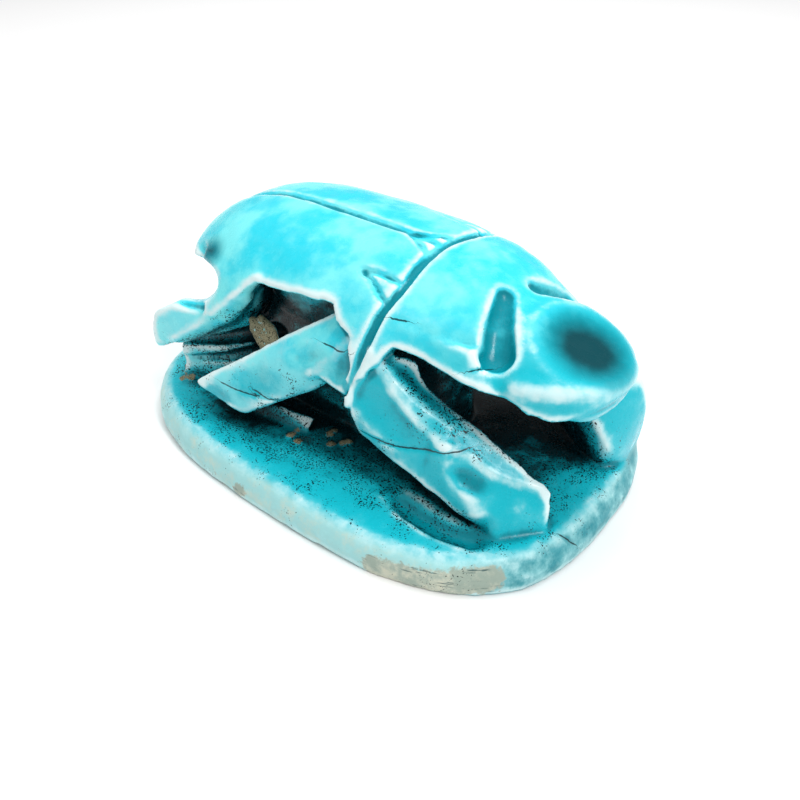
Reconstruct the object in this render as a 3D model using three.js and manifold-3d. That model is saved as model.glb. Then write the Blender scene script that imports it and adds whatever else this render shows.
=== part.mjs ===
// Scarab amulet: a beetle with tucked legs on an oval base, carved as one piece
// and glazed. Millimetres, +Z up, head towards +X, flat underside on z = 0.
// The near side is the -Y side.
import * as THREE from "three";
import { ConvexGeometry } from "three/addons/geometries/ConvexGeometry.js";
import { mergeVertices } from "three/addons/utils/BufferGeometryUtils.js";
import Module from "manifold-3d";

const wasm = await Module();
wasm.setup();

// Base: an oval slab with a drawn-in top edge.
const BASE_LENGTH = 50;
const BASE_WIDTH = 35.2;
const BASE_HEIGHT = 3.3;
const OUTLINE_POWER = 2.9;
const RIM_INSET = 0.9;
const FOOT_EDGE = 0.2;
const BASE_STEPS = 96;
const BASE_BANDS = 4;

// Back of the beetle: wing cases and neck shield in one dome. Its two sides
// were cut by hand and differ: the far one is fuller.
const BACK_MIDDLE_X = -2;
const BACK_FLOOR_Z = 9;
const BACK_TOP_Z = 22.2;
const BACK_NEAR_HALF_WIDTH = 12.3;
const BACK_NEAR_POWER = 2.08;
const BACK_FAR_HALF_WIDTH = 13.2;
const BACK_FAR_POWER = 2.5;
const TAIL_REACH = 20.9;
const TAIL_POWER = 3;
const TAIL_PLAN_POWER = 3.1;
const NECK_REACH = 21;
const NECK_POWER = 3.2;
const NECK_PLAN_POWER = 2.6;

// Head: a broad plate with a shallow bowl in its top.
const HEAD_MIDDLE_X = 15.5;
const HEAD_UNDER_Z = 13.8;
const HEAD_REACH = 9;
const HEAD_HALF_WIDTH = 7.7;
const HEAD_RISE = 5.9;
const HEAD_POWER = 2.3;

// Carved lines: the collar behind the neck shield, the seam between the wing
// cases, and the small notches where the seam and the shoulder meet the collar.
const COLLAR_X = 6.5;
const COLLAR_WIDTH = 0.9;
const COLLAR_DEPTH = 0.8;
const LINE_WIDTH = 0.6;
const LINE_DEPTH = 0.45;

// Scoops beside the neck and the bowl of the head.
const NECK_SCOOP_WIDTH = 2;
const NECK_SCOOP_DEPTH = 1.4;
const BOWL_WIDTH = 6;
const BOWL_DEPTH = 1.5;

/** A three.js geometry as a solid that can be joined and cut. */
function solid(geometry) {
  const plain = geometry.clone();
  plain.deleteAttribute("normal");
  plain.deleteAttribute("uv");
  const welded = mergeVertices(plain, 1e-4);
  return new wasm.Manifold(new wasm.Mesh({
    numProp: 3,
    vertProperties: new Float32Array(welded.attributes.position.array),
    triVerts: new Uint32Array(welded.index.array),
  }));
}

/** Moves every point of a geometry by a rule and gives the geometry back. */
function shaped(geometry, rule) {
  const spots = geometry.attributes.position;
  for (let i = 0; i < spots.count; i += 1) {
    spots.setXYZ(i, ...rule(spots.getX(i), spots.getY(i), spots.getZ(i)));
  }
  return geometry;
}

/** The tight wrap of a few corner points, each [x, y, z]. */
function block(corners) {
  return solid(new ConvexGeometry(corners.map((corner) => new THREE.Vector3(...corner))));
}

/** The same corners on the far side of the beetle. */
function farSide(corners) {
  return corners.map(([x, y, z]) => [x, -y, z]);
}

/** A value raised to a power with its sign kept. */
function signedPower(value, power) {
  return Math.sign(value) * Math.pow(Math.abs(value), power);
}

/** How wide a rounded form still is at a share of its reach, from 1 to 0. */
function fullness(share, power) {
  return Math.pow(Math.max(0, 1 - Math.pow(Math.abs(share), power)), 1 / power);
}

/** The oval base. */
function base() {
  const drum = new THREE.CylinderGeometry(1, 1, 1, BASE_STEPS, BASE_BANDS);
  drum.rotateX(Math.PI / 2);
  const inset = [FOOT_EDGE, 0, 0.25 * RIM_INSET, 0.6 * RIM_INSET, RIM_INSET];
  const level = [0, FOOT_EDGE, 0.6 * BASE_HEIGHT, 0.88 * BASE_HEIGHT, BASE_HEIGHT];
  return solid(shaped(drum, (x, y, z) => {
    const band = Math.round((z + 0.5) * BASE_BANDS);
    const radius = Math.hypot(x, y);
    const angle = Math.atan2(y, x);
    return [
      radius * signedPower(Math.cos(angle), 2 / OUTLINE_POWER) * (BASE_LENGTH / 2 - inset[band]),
      radius * signedPower(Math.sin(angle), 2 / OUTLINE_POWER) * (BASE_WIDTH / 2 - inset[band]),
      level[band],
    ];
  }));
}

/** The trunk between base and cap. */
function trunk() {
  const bands = TRUNK_LEVELS.length - 1;
  const drum = new THREE.CylinderGeometry(1, 1, 1, 40, bands);
  drum.rotateX(Math.PI / 2);
  return solid(shaped(drum, (x, y, z) => {
    const { z: height, rear, front, halfWidth } = TRUNK_LEVELS[Math.round((z + 0.5) * bands)];
    const radius = Math.hypot(x, y);
    const angle = Math.atan2(y, x);
    return [
      (front + rear) / 2 + radius * signedPower(Math.cos(angle), 2 / TRUNK_POWER) * (front - rear) / 2,
      radius * signedPower(Math.sin(angle), 2 / TRUNK_POWER) * halfWidth,
      height,
    ];
  }));
}

/** The dome of the back, or one that lies a little way below it. */
function backDome(sunk = 0) {
  const ball = new THREE.SphereGeometry(1, 72, 36);
  ball.rotateZ(-Math.PI / 2);
  return solid(shaped(ball, (x, y, z) => {
    const ring = Math.hypot(y, z) || 1;
    const tail = x < 0;
    const wide = fullness(x, tail ? TAIL_PLAN_POWER : NECK_PLAN_POWER);
    const high = fullness(x, tail ? TAIL_POWER : NECK_POWER);
    const near = y < 0;
    const halfWidth = near ? BACK_NEAR_HALF_WIDTH : BACK_FAR_HALF_WIDTH;
    const curve = 2 / (near ? BACK_NEAR_POWER : BACK_FAR_POWER);
    return [
      BACK_MIDDLE_X + x * ((tail ? TAIL_REACH : NECK_REACH) - sunk),
      signedPower(y / ring, curve) * wide * (halfWidth - sunk),
      BACK_FLOOR_Z + signedPower(z / ring, curve) * high * (BACK_TOP_Z - BACK_FLOOR_Z - sunk),
    ];
  }));
}

/** The dome of the head. */
function headDome() {
  const ball = new THREE.SphereGeometry(1, 48, 24);
  ball.rotateZ(-Math.PI / 2);
  return solid(shaped(ball, (x, y, z) => {
    const ring = Math.hypot(y, z) || 1;
    const wide = fullness(x, HEAD_POWER);
    return [
      HEAD_MIDDLE_X + x * HEAD_REACH,
      (y / ring) * wide * HEAD_HALF_WIDTH,
      HEAD_UNDER_Z + (z / ring) * wide * HEAD_RISE,
    ];
  }));
}

/** A side outline in x and z, carried right across the beetle. */
function sideProfile(outline) {
  const across = 2 * BASE_WIDTH;
  const shape = new THREE.Shape(outline.map(([x, z]) => new THREE.Vector2(x, z)));
  const plate = new THREE.ExtrudeGeometry(shape, { depth: across, bevelEnabled: false });
  plate.rotateX(Math.PI / 2);
  plate.translate(0, across / 2, 0);
  return solid(plate);
}

/** A straight cut seen from above, sunk a set depth into the back. */
function backLine(from, to, width, depth) {
  const start = new THREE.Vector2(...from);
  const run = new THREE.Vector2(...to).sub(start);
  const blade = new THREE.BoxGeometry(run.length(), width, BACK_TOP_Z);
  blade.translate(run.length() / 2, 0, BACK_TOP_Z);
  blade.rotateZ(run.angle());
  blade.translate(start.x, start.y, 0);
  return solid(blade).subtract(backDome(depth));
}

/** An egg-shaped cut between two points. */
function scoop(from, to, width, depth) {
  const start = new THREE.Vector3(...from);
  const end = new THREE.Vector3(...to);
  const egg = new THREE.SphereGeometry(1, 24, 16);
  egg.scale(start.distanceTo(end) / 2, width / 2, depth);
  const along = end.clone().sub(start).normalize();
  egg.applyQuaternion(new THREE.Quaternion().setFromUnitVectors(new THREE.Vector3(1, 0, 0), along));
  egg.translate(...start.add(end).multiplyScalar(0.5).toArray());
  return solid(egg);
}

// What is cut away below the margin of the wing cases, shield and head. It
// steps down at the shoulder, where the flank runs on to the front knee.
const UNDER_MARGIN = [
  [-30, -9], [-30, 16.2], [-17, 15.8], [-13, 15], [-9, 17.2], [-6, 17.5], [1.6, 18.3], [2.8, 11],
  [7.6, 11], [8.4, 17], [15.5, 15.6], [18, HEAD_UNDER_Z], [30, HEAD_UNDER_Z], [30, -9],
];

// Trunk that carries the cap: its outline at each level, waisted under the tail.
const TRUNK_POWER = 2.8;
const TRUNK_LEVELS = [
  { z: 2, rear: -19.4, front: 9.4, halfWidth: 6.4 },
  { z: 8, rear: -19.2, front: 9, halfWidth: 6 },
  { z: 10, rear: -18.6, front: 9, halfWidth: 5.8 },
  { z: 12.4, rear: -16.4, front: 9.2, halfWidth: 5.4 },
  { z: 14.4, rear: -16.8, front: 9.6, halfWidth: 5.5 },
  { z: 18, rear: -16.8, front: 10.4, halfWidth: 5.6 },
];

// Hind leg, from the rear corner of the base up to the wing case, and the low
// shelf left standing under it.
const HIND_LEG = [
  [-20, -12, 10.9], [-20.3, -12.1, 7], [-19.4, -10.3, 10.7], [-18.8, -9, 7],
  [-17.3, -7.6, 10.7], [-12.2, -9.7, 12.7], [-10.4, -7.6, 11],
  [-8.6, -8, 17.4], [-9.6, -5, 14], [-13.5, -6, 15], [-12, -4, 11],
];
const HIND_SHELF = [
  [-19.2, -10.9, 2], [-19.2, -10.9, 4.6], [-16, -5, 2], [-16, -5, 5],
  [-7.5, -6.2, 2], [-7.2, -5.6, 9], [-9, -4, 9],
];

// Middle leg, from the shoulder back and down to its foot.
const MIDDLE_LEG = [
  [-12.2, -13.8, 7.1], [-12.8, -11.5, 5], [-6.2, -13, 5.8], [-8, -9.4, 4],
  [-4.6, -8.6, 12.3], [-2, -11.2, 8.4],
  [1.6, -7.8, 17.9], [4.5, -9, 17], [3.4, -10.8, 12], [1, -6, 12],
];

// Front leg, from the knee to the wrist and from the wrist to the toe. The
// far toe is the broader one and stands on the rim.
const FRONT_LEG_UPPER = [
  [6.2, -9.1, 16.2], [8.5, -6.5, 15.4], [4.7, -11.7, 11.2], [5.4, -10.6, 8], [7, -7, 8],
  [14.2, -9.1, 9.8], [13.8, -6.4, 11.6], [13.5, -10.5, 5.3], [13, -6.5, 6],
];
const WRIST = [
  [12.8, -9.5, 10.6], [12.4, -6.4, 12.1], [12.2, -10.7, 5.7], [11.6, -6.5, 6.8],
];
const NEAR_TOE = [
  [22.1, -4.9, 6.6], [21.7, -4.9, 2], [22.8, -7.2, 2], [18.6, -10.2, 4.6], [20.8, -9.6, 2],
];
const FAR_TOE = [
  [22.5, 3.6, 6.4], [22.2, 4, 2], [23.2, 6.5, 2], [22.9, 9.7, 8.4], [21.9, 10.6, 2], [16.5, 9.5, 10.4],
];

/** The amulet, joined and cut as one solid. */
function amulet() {
  let body = backDome().add(headDome()).subtract(sideProfile(UNDER_MARGIN));
  for (const corners of [HIND_LEG, HIND_SHELF, MIDDLE_LEG, FRONT_LEG_UPPER]) {
    body = body.add(block(corners)).add(block(farSide(corners)));
  }
  body = body.add(block([...WRIST, ...NEAR_TOE])).add(block([...farSide(WRIST), ...FAR_TOE]));
  body = body.add(trunk()).add(base());

  const tail = BACK_MIDDLE_X - TAIL_REACH;
  body = body.subtract(backLine([COLLAR_X, -BASE_WIDTH], [COLLAR_X, BASE_WIDTH], COLLAR_WIDTH, COLLAR_DEPTH));
  body = body.subtract(backLine([tail, 0], [COLLAR_X, 0], LINE_WIDTH, LINE_DEPTH));
  const notches = [[[3, 0], [COLLAR_X, -1.8]], [[2, -5.6], [COLLAR_X, -5.4]], [[2, -5.6], [COLLAR_X, -7.4]]];
  for (const [from, to] of notches) {
    body = body.subtract(backLine(from, to, LINE_WIDTH, LINE_DEPTH));
  }
  for (const side of [-1, 1]) {
    const inner = [13.2, side * 0.6, 20.4];
    const outer = [17, side * 8, 16.2];
    body = body.subtract(scoop(inner, outer, NECK_SCOOP_WIDTH, NECK_SCOOP_DEPTH));
  }
  return body.subtract(scoop([17.2, 0.3, 20.4], [23.6, 0.3, 17.2], BOWL_WIDTH, BOWL_DEPTH));
}

/** A finished solid as a named three.js mesh. */
function mesh(name, body, material) {
  const { vertProperties, triVerts } = body.getMesh();
  const geometry = new THREE.BufferGeometry();
  geometry.setAttribute("position", new THREE.BufferAttribute(new Float32Array(vertProperties), 3));
  geometry.setIndex(new THREE.BufferAttribute(new Uint32Array(triVerts), 1));
  geometry.computeVertexNormals();
  const piece = new THREE.Mesh(geometry, material);
  piece.name = name;
  return piece;
}

const glaze = new THREE.MeshStandardMaterial({ color: 0x2fc4d2, roughness: 0.25, metalness: 0 });
const scarab = new THREE.Group();
scarab.add(mesh("scarab", amulet(), glaze));

export default scarab;
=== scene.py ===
"""Dresses the scarab amulet: one carved and glazed piece on a pale floor.

The stone is shaped as a field on a fine grid, in millimetres: forms are added and
cut as a carver would, and the skin of the result becomes the mesh. The near side
of the beetle is its -Y side and the head points towards +X.
"""
import math
from collections import namedtuple

import bmesh
import bpy
import numpy as np
from mathutils import Matrix, Vector


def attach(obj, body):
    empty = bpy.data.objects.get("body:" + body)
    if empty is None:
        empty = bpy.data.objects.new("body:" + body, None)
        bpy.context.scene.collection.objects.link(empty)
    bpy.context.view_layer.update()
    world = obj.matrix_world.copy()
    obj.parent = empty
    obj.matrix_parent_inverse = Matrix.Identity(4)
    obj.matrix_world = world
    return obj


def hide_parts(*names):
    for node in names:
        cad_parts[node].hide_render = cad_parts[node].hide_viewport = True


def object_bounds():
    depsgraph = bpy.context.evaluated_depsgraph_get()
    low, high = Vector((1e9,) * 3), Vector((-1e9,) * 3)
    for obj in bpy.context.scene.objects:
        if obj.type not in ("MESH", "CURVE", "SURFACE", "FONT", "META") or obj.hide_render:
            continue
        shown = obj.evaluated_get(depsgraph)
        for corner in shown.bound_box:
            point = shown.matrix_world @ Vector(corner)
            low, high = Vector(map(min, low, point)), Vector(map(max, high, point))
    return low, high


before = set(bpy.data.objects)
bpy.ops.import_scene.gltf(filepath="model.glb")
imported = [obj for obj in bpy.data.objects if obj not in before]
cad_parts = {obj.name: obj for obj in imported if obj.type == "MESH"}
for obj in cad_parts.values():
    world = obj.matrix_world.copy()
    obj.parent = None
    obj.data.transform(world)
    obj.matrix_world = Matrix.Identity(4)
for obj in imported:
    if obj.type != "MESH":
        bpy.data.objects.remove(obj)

MM = 0.001
CAD_BOX = [list(corner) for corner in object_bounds()]
SEED = 1907

# Grid of the carving and how fine its skin is kept.
GRID_STEP = 0.24
GRID_LOW = (-26, -18.6, -0.8)
GRID_HIGH = (26, 18.6, 23.2)
MOST_TRIANGLES = 190_000

# Base.
BASE_LENGTH = 50.0
BASE_WIDTH = 35.2
BASE_HEIGHT = 3.3
OUTLINE_POWER = 2.9
RIM_INSET = 0.9

# Back.
BACK_MIDDLE_X = -2.0
BACK_FLOOR_Z = 9.0
BACK_TOP_Z = 22.2
NEAR_HALF_WIDTH, NEAR_POWER = 12.3, 2.08
FAR_HALF_WIDTH, FAR_POWER = 13.2, 2.5
TAIL_REACH, TAIL_POWER, TAIL_PLAN_POWER = 20.9, 3.0, 3.1
NECK_REACH, NECK_POWER, NECK_PLAN_POWER = 21.0, 3.2, 2.6

# Head.
HEAD_MIDDLE_X = 15.5
HEAD_UNDER_Z = 13.8
HEAD_REACH = 9.0
HEAD_HALF_WIDTH = 7.7
HEAD_RISE = 5.9
HEAD_POWER = 2.3

# ---------------------------------------------------------------- numbers

Form = namedtuple("Form", "low high distance")
FAR_AWAY = 50.0


def smooth_min(a, b, blend):
    """The lower of two distances, rounded where they meet."""
    share = np.clip(0.5 + 0.5 * (b - a) / blend, 0, 1)
    return b + (a - b) * share - blend * share * (1 - share)


def smooth_max(a, b, blend):
    """The higher of two distances, rounded where they meet."""
    return -smooth_min(-a, -b, blend)


def ramp(value, start, end):
    """0 before start, 1 after end, smooth between."""
    share = np.clip((value - start) / (end - start), 0, 1)
    return share * share * (3 - 2 * share)


def lumpy(axes, cell, seed):
    """Soft random lumps of a given size, from -1 to 1, over a grid."""
    random = np.random.default_rng(SEED + seed)
    counts = [int((axis[-1] - axis[0]) / cell) + 2 for axis in axes]
    values = random.uniform(-1, 1, counts).astype(np.float32)
    for number, axis in enumerate(axes):
        along = (axis - axis[0]) / cell
        first = np.floor(along).astype(int)
        share = ramp(along - first, 0, 1).astype(np.float32)
        shape = [1, 1, 1]
        shape[number] = -1
        share = share.reshape(shape)
        values = values.take(first, number) * (1 - share) + values.take(first + 1, number) * share
    return values


class Stone:
    """A block of stone: how far each point of a grid lies outside its surface."""

    def __init__(self, low, high, step):
        self.step = step
        self.low = np.array(low, np.float32)
        self.axes = [np.arange(a, b + step, step, dtype=np.float32) for a, b in zip(low, high)]
        self.outside = np.full([len(axis) for axis in self.axes], FAR_AWAY, np.float32)
        self.marks = {"pool": [], "ridge": [], "dirt": [], "bare": [], "dark_pool": []}
        self.cracks = []

    def window(self, low, high, spare):
        """The part of the grid between two corners, and its x, y and z."""
        part, spots = [], []
        for number, axis in enumerate(self.axes):
            first = int(np.searchsorted(axis, low[number] - spare))
            last = int(np.searchsorted(axis, high[number] + spare))
            part.append(slice(first, max(last, first + 1)))
            shape = [1, 1, 1]
            shape[number] = -1
            spots.append(axis[part[-1]].reshape(shape))
        return tuple(part), spots

    def add(self, form, blend=0.3):
        part, spots = self.window(form.low, form.high, blend + 1)
        self.outside[part] = smooth_min(self.outside[part], form.distance(*spots), blend)

    def cut(self, form, blend=0.3):
        part, spots = self.window(form.low, form.high, blend + 1)
        self.outside[part] = smooth_max(self.outside[part], -form.distance(*spots), blend)

    def read(self, values, points):
        """Values of a grid at points between its nodes."""
        along = (points - self.low) / self.step
        first = np.clip(np.floor(along).astype(int), 0, np.array(values.shape) - 2)
        share = np.clip(along - first, 0, 1)
        result = 0
        for offset in CORNERS:
            weight = np.prod([share[:, n] if offset[n] else 1 - share[:, n] for n in range(3)], 0)
            result = result + weight * values[tuple((first + offset).T)]
        return result

    def way_out(self, points):
        """The way out of the stone at some points, steeper where the field is."""
        reach = np.eye(3) * self.step
        rises = [self.read(self.outside, points + r) - self.read(self.outside, points - r) for r in reach]
        return np.stack(rises, 1) / (2 * self.step)

    def settle(self, points, rounds, furthest):
        """Moves points onto the surface."""
        for _ in range(rounds):
            out = self.way_out(points)
            steep = np.maximum((out ** 2).sum(1), 0.05)
            move = np.clip(self.read(self.outside, points) / steep, -furthest, furthest)
            points = points - move[:, None] * out
        return points

    def on_surface(self, path, gap=0.5):
        """A smooth line laid on the surface, and the way out of the stone along it."""
        points = self.settle(curve(path, gap), 6, 0.8)
        out = self.way_out(points)
        return points, out / np.linalg.norm(out, axis=1)[:, None]

    def groove(self, path, width, depth, fade=(0.5, 0.5), blend=0.15):
        """Cuts a round-bottomed line along the surface, fading at its two ends."""
        points, out = self.on_surface(path)
        run = np.append(0, np.cumsum(np.linalg.norm(np.diff(points, axis=0), axis=1)))
        share = ramp(run, 0, fade[0] + 0.01) * ramp(run[-1] - run, 0, fade[1] + 0.01)
        radius = (width ** 2 / 4 + depth ** 2) / (2 * depth)
        points = points + out * (radius - depth * share)[:, None]
        self.cut(rod(points, [radius] * len(points)), blend)

    def sink(self, middle, reach, depth):
        """Presses the surface in softly round a point, less and less up to its reach."""
        middle, reach = np.array(middle), np.array(reach)
        part, spots = self.window(middle - reach, middle + reach, 0)
        near = sum(((spot - m) / r) ** 2 for spot, m, r in zip(spots, middle, reach))
        self.outside[part] += depth * np.clip(1 - near, 0, 1) ** 1.5

    def dish(self, start, end, width, depth, pool=True, blend=0.4):
        """Hollows the surface out in a shallow oval between two points."""
        (start, middle, end), out = self.on_surface([start, np.add(start, end) / 2, end], 99)
        reach = depth / 0.4
        lift = out[1] * reach * 0.6
        form = scoop(start + lift, end + lift, width / 0.8, reach, out[1], 1 / 0.8)
        self.cut(form, blend)
        if pool:
            self.marks["pool"].append(form)


def curve(path, gap):
    """Points along a smooth line through a path."""
    path = np.array(path, float)
    ends = np.vstack([2 * path[0] - path[1], path, 2 * path[-1] - path[-2]])
    points = []
    for a, b, c, d in zip(ends, ends[1:], ends[2:], ends[3:]):
        count = max(int(np.linalg.norm(c - b) / gap), 1)
        for t in np.arange(count) / count:
            bend = (2 * a - 5 * b + 4 * c - d) * t ** 2 + (3 * b - a - 3 * c + d) * t ** 3
            points.append(b + ((c - a) * t + bend) / 2)
    return np.array(points + [path[-1]])


def spread(values, reach):
    """Values averaged over a small cube, twice over."""
    for axis in list(range(3)) * 2:
        total = np.cumsum(np.concatenate([
            np.zeros_like(values.take([0], axis)),
            values.take([0] * reach, axis), values, values.take([-1] * reach, axis),
        ], axis), axis, dtype=np.float32)
        count = values.shape[axis]
        wide = 2 * reach + 1
        values = (total.take(range(wide, wide + count), axis) - total.take(range(count), axis)) / wide
    return values


CORNERS = [(i, j, k) for i in (0, 1) for j in (0, 1) for k in (0, 1)]
EDGES = [(a, b) for a in CORNERS for b in CORNERS if sum(b) - sum(a) == 1 and
         sum(abs(p - q) for p, q in zip(a, b)) == 1]


# ---------------------------------------------------------------- forms


def oval_base():
    """The oval base slab with its drawn-in rim."""
    half_x, half_y = BASE_LENGTH / 2, BASE_WIDTH / 2

    def distance(x, y, z):
        share = (np.abs(x / half_x) ** OUTLINE_POWER + np.abs(y / half_y) ** OUTLINE_POWER)
        share = np.maximum(share, 1e-6) ** (1 / OUTLINE_POWER)
        side = np.hypot(x, y) * (1 - 1 / share) * 0.96
        drawn_in = RIM_INSET * ramp(z, 0.35 * BASE_HEIGHT, 1.15 * BASE_HEIGHT)
        slab = smooth_max(side + drawn_in, z - BASE_HEIGHT, 0.9)
        return smooth_max(slab, -z, 0.25)

    return Form((-half_x, -half_y, 0), (half_x, half_y, BASE_HEIGHT), distance)


def domed(x, y, z, middle_x, floor_z, reach, half_width, rise, power, plan_power, section):
    """How far points lie outside a dome whose two directions may round off differently."""
    along = np.abs(x - middle_x) / reach
    across = np.abs(y) / half_width
    up = np.abs(z - floor_z) / rise
    round_off = plan_power + (power - plan_power) * up ** 2 / (across ** 2 + up ** 2 + 1e-6)
    ring = (across ** section + up ** section) ** (1 / section)
    share = (along ** round_off + ring ** round_off) ** (1 / round_off)
    length = np.sqrt((x - middle_x) ** 2 + y ** 2 + (z - floor_z) ** 2)
    return length * (1 - 1 / np.maximum(share, 1e-3))


def back_dome():
    """The wing cases and neck shield as one dome."""

    def distance(x, y, z):
        tail, near = x < BACK_MIDDLE_X, y < 0
        return domed(
            x, y, z, BACK_MIDDLE_X, BACK_FLOOR_Z,
            np.where(tail, TAIL_REACH, NECK_REACH),
            np.where(near, NEAR_HALF_WIDTH, FAR_HALF_WIDTH),
            BACK_TOP_Z - BACK_FLOOR_Z,
            np.where(tail, TAIL_POWER, NECK_POWER),
            np.where(tail, TAIL_PLAN_POWER, NECK_PLAN_POWER),
            np.where(near, NEAR_POWER, FAR_POWER),
        )

    low = (BACK_MIDDLE_X - TAIL_REACH, -NEAR_HALF_WIDTH, BACK_FLOOR_Z)
    high = (BACK_MIDDLE_X + NECK_REACH, FAR_HALF_WIDTH, BACK_TOP_Z)
    return Form(low, high, distance)


def head_dome():
    """The broad plate of the head."""

    def distance(x, y, z):
        return domed(
            x, y, z, HEAD_MIDDLE_X, HEAD_UNDER_Z, HEAD_REACH, HEAD_HALF_WIDTH, HEAD_RISE,
            HEAD_POWER, HEAD_POWER, 2.0,
        )

    low = (HEAD_MIDDLE_X - HEAD_REACH, -HEAD_HALF_WIDTH, HEAD_UNDER_Z)
    high = (HEAD_MIDDLE_X + HEAD_REACH, HEAD_HALF_WIDTH, HEAD_UNDER_Z + HEAD_RISE)
    return Form(low, high, distance)


def side_profile(outline):
    """A side outline in x and z, carried right across the beetle."""
    points = np.array(outline, np.float32)

    def distance(x, y, z):
        away = np.full(np.broadcast(x, z).shape, FAR_AWAY, np.float32)
        inside = np.zeros(away.shape, bool)
        for (ax, az), (bx, bz) in zip(points, np.roll(points, -1, 0)):
            run_x, run_z = bx - ax, bz - az
            share = ((x - ax) * run_x + (z - az) * run_z) / (run_x ** 2 + run_z ** 2)
            share = np.clip(share, 0, 1)
            away = np.minimum(away, np.hypot(x - ax - share * run_x, z - az - share * run_z))
            if run_z:
                crosses = ((az > z) != (bz > z)) & (x < run_x * (z - az) / run_z + ax)
                inside ^= crosses
        return np.where(inside, -away, away)

    low = (points[:, 0].min(), -BASE_WIDTH, points[:, 1].min())
    high = (points[:, 0].max(), BASE_WIDTH, points[:, 1].max())
    return Form(low, high, distance)


def block(corners, edge=0.45):
    """The tight wrap of a few corner points, with eased edges."""
    hull = bmesh.new()
    for corner in corners:
        hull.verts.new(corner)
    bmesh.ops.convex_hull(hull, input=hull.verts)
    middle = sum((Vector(corner) for corner in corners), Vector()) / len(corners)
    planes = []
    for face in hull.faces:
        normal = face.normal.copy()
        if normal.length < 0.5:
            continue
        if normal.dot(face.verts[0].co - middle) < 0:
            normal.negate()
        plane = (*normal, normal.dot(face.verts[0].co))
        if all(sum(abs(a - b) for a, b in zip(plane, other)) > 0.05 for other in planes):
            planes.append(plane)
    hull.free()

    def distance(x, y, z):
        away = None
        for a, b, c, level in planes:
            beyond = a * x + b * y + c * z - level
            away = beyond if away is None else smooth_max(away, beyond, edge)
        return away

    return Form(np.min(corners, 0), np.max(corners, 0), distance)


def scoop(start, end, width, depth, side=(0, 0, 1), longer=1.0):
    """An egg-shaped form between two points; its depth lies along the side direction."""
    start, end = np.array(start, float), np.array(end, float)
    middle = (start + end) / 2
    along = (end - start) / np.linalg.norm(end - start)
    across = np.cross(side, along)
    across /= np.linalg.norm(across)
    up = np.cross(along, across)
    radii = (np.linalg.norm(end - start) / 2 * longer, width / 2, depth)

    def distance(x, y, z):
        near, steep = 0, 0
        for axis, radius in zip((along, across, up), radii):
            share = (x - middle[0]) * axis[0] + (y - middle[1]) * axis[1] + (z - middle[2]) * axis[2]
            near = near + (share / radius) ** 2
            steep = steep + (share / radius ** 2) ** 2
        near, steep = np.sqrt(near), np.sqrt(steep) + 1e-6
        return near * (near - 1) / steep

    reach = max(radii)
    return Form(middle - reach, middle + reach, distance)


def rod(points, radii):
    """A round bar through several points, thicker or thinner at each."""
    points = np.array(points, np.float32)

    def distance(x, y, z):
        away = FAR_AWAY
        for a, b, ra, rb in zip(points, points[1:], radii, radii[1:]):
            run = b - a
            share = ((x - a[0]) * run[0] + (y - a[1]) * run[1] + (z - a[2]) * run[2]) / run.dot(run)
            share = np.clip(share, 0, 1)
            gap = (x - a[0] - share * run[0]) ** 2 + (y - a[1] - share * run[1]) ** 2
            gap = np.sqrt(gap + (z - a[2] - share * run[2]) ** 2)
            away = np.minimum(away, gap - ra - share * (rb - ra))
        return away

    reach = max(radii)
    return Form(points.min(0) - reach, points.max(0) + reach, distance)


TRUNK_POWER = 2.8
TRUNK_LEVELS = {
    "z": (2, 8, 10, 12.4, 14.4, 18),
    "rear": (-19.4, -19.2, -18.6, -16.4, -16.8, -16.8),
    "front": (9.4, 9, 9, 9.2, 9.6, 10.4),
    "half_width": (6.4, 6, 5.8, 5.4, 5.5, 5.6),
}


def trunk():
    """The trunk between base and cap, waisted under the tail."""

    def distance(x, y, z):
        levels = TRUNK_LEVELS["z"]
        rear, front, half_width = (
            np.interp(z, levels, TRUNK_LEVELS[name]).astype(np.float32)
            for name in ("rear", "front", "half_width")
        )
        from_middle = x - (front + rear) / 2
        share = np.abs(from_middle / ((front - rear) / 2)) ** TRUNK_POWER
        share = (share + np.abs(y / half_width) ** TRUNK_POWER + 1e-6) ** (1 / TRUNK_POWER)
        side = np.hypot(from_middle, y) * (1 - 1 / share) * 0.9
        return np.maximum(side, np.maximum(z - levels[-1], levels[0] - z))

    low = (min(TRUNK_LEVELS["rear"]), -7, TRUNK_LEVELS["z"][0])
    high = (max(TRUNK_LEVELS["front"]), 7, TRUNK_LEVELS["z"][-1])
    return Form(low, high, distance)


def far_side(corners):
    """The same corners on the far side of the beetle."""
    return [(x, -y, z) for x, y, z in corners]


# ---------------------------------------------------------------- the carving

# What is cut away below the margin of the wing cases, shield and head, in x and z.
UNDER_MARGIN = [
    (-30, -9), (-30, 16.2), (-17, 15.8), (-14.6, 15.2), (-13.6, 13), (-12, 13.4), (-7.4, 17.7),
    (-6, 17.5), (1.4, 18.3), (2.2, 17.3), (4.2, 16.6), (4.7, 12),
    (4.7, 11), (5.6, 11), (6.6, 14.5), (8.2, 16.9), (11.2, 16.6), (15.2, 16), (17.5, 15.3),
    (19.4, 14.3), (21, HEAD_UNDER_Z), (30, HEAD_UNDER_Z), (30, -9),
]

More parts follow.
